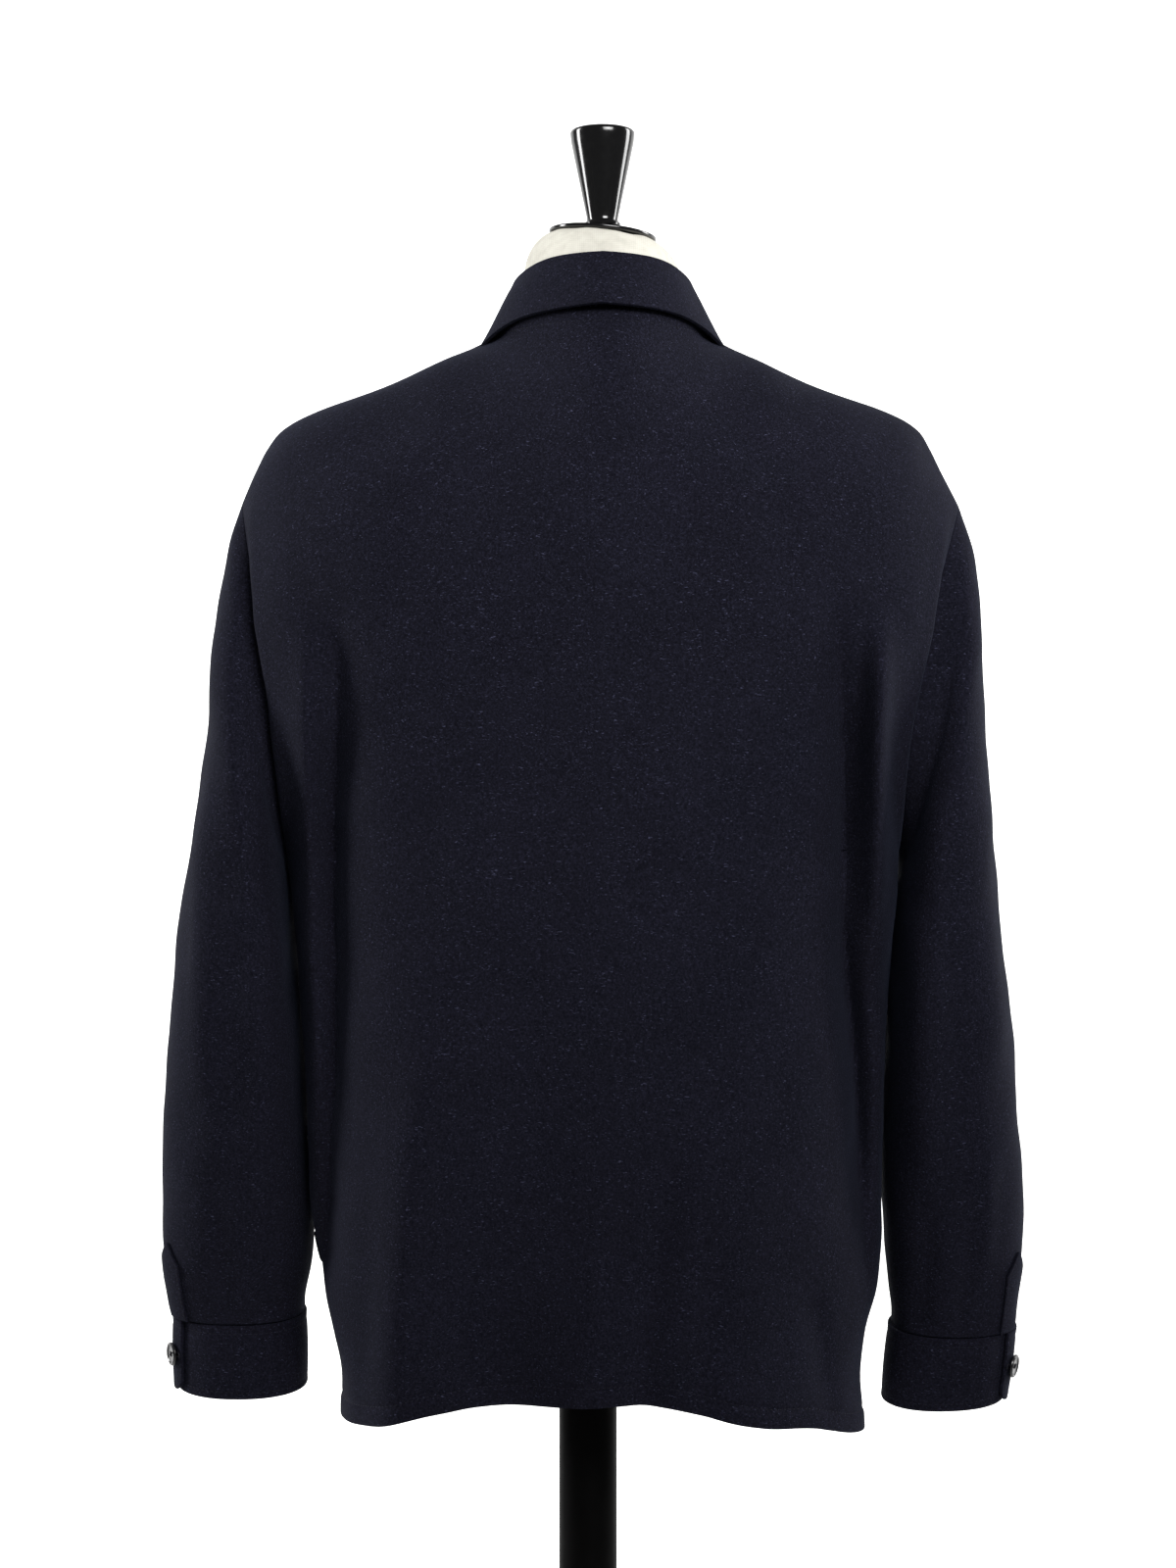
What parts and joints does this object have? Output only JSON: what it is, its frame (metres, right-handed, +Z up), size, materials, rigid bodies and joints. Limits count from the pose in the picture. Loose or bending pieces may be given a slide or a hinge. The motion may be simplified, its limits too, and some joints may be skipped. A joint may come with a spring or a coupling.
{
  "type": "overshirt on a limbless dress form",
  "caption": "Buttoned wool overshirt with a collar, dropped shoulders and cuffed sleeves, filled out on a limbless dress form with a knob, a pole and a round base.",
  "frame": {"origin": "centre of the base's underside, on the pole's axis", "axes": "+Z up, +X towards the wearer's right side, +Y out of the front of the garment, so the picture's view of its back looks along +Y"},
  "size_m": [0.6017, 0.32, 1.5545],
  "materials": {
    "wool": "dark navy melange felted wool, matt with a short nap",
    "buttons": "dark horn look, polished rim",
    "form_cover": "ivory woven cotton cover, stretched",
    "lacquer": "black high-gloss lacquer on turned wood",
    "steel": "black satin paint on steel"
  },
  "bodies": {
    "root": {"back_panel": "wool", "front_left": "wool", "front_right": "wool", "sleeve_left": "wool", "sleeve_right": "wool", "cuff_left": "wool", "cuff_right": "wool", "sleeve_placket_left": "wool", "sleeve_placket_right": "wool", "collar_stand": "wool", "collar_fall": "wool", "button_front_1": "buttons", "button_front_2": "buttons", "button_front_3": "buttons", "button_front_4": "buttons", "button_front_5": "buttons", "button_front_6": "buttons", "button_collar": "buttons", "button_cuff_left": "buttons", "button_cuff_right": "buttons", "form_torso": "form_cover", "form_neck_cap": "lacquer", "form_knob": "lacquer", "stand_pole": "steel", "stand_base": "steel"}
  },
  "joints": []
}
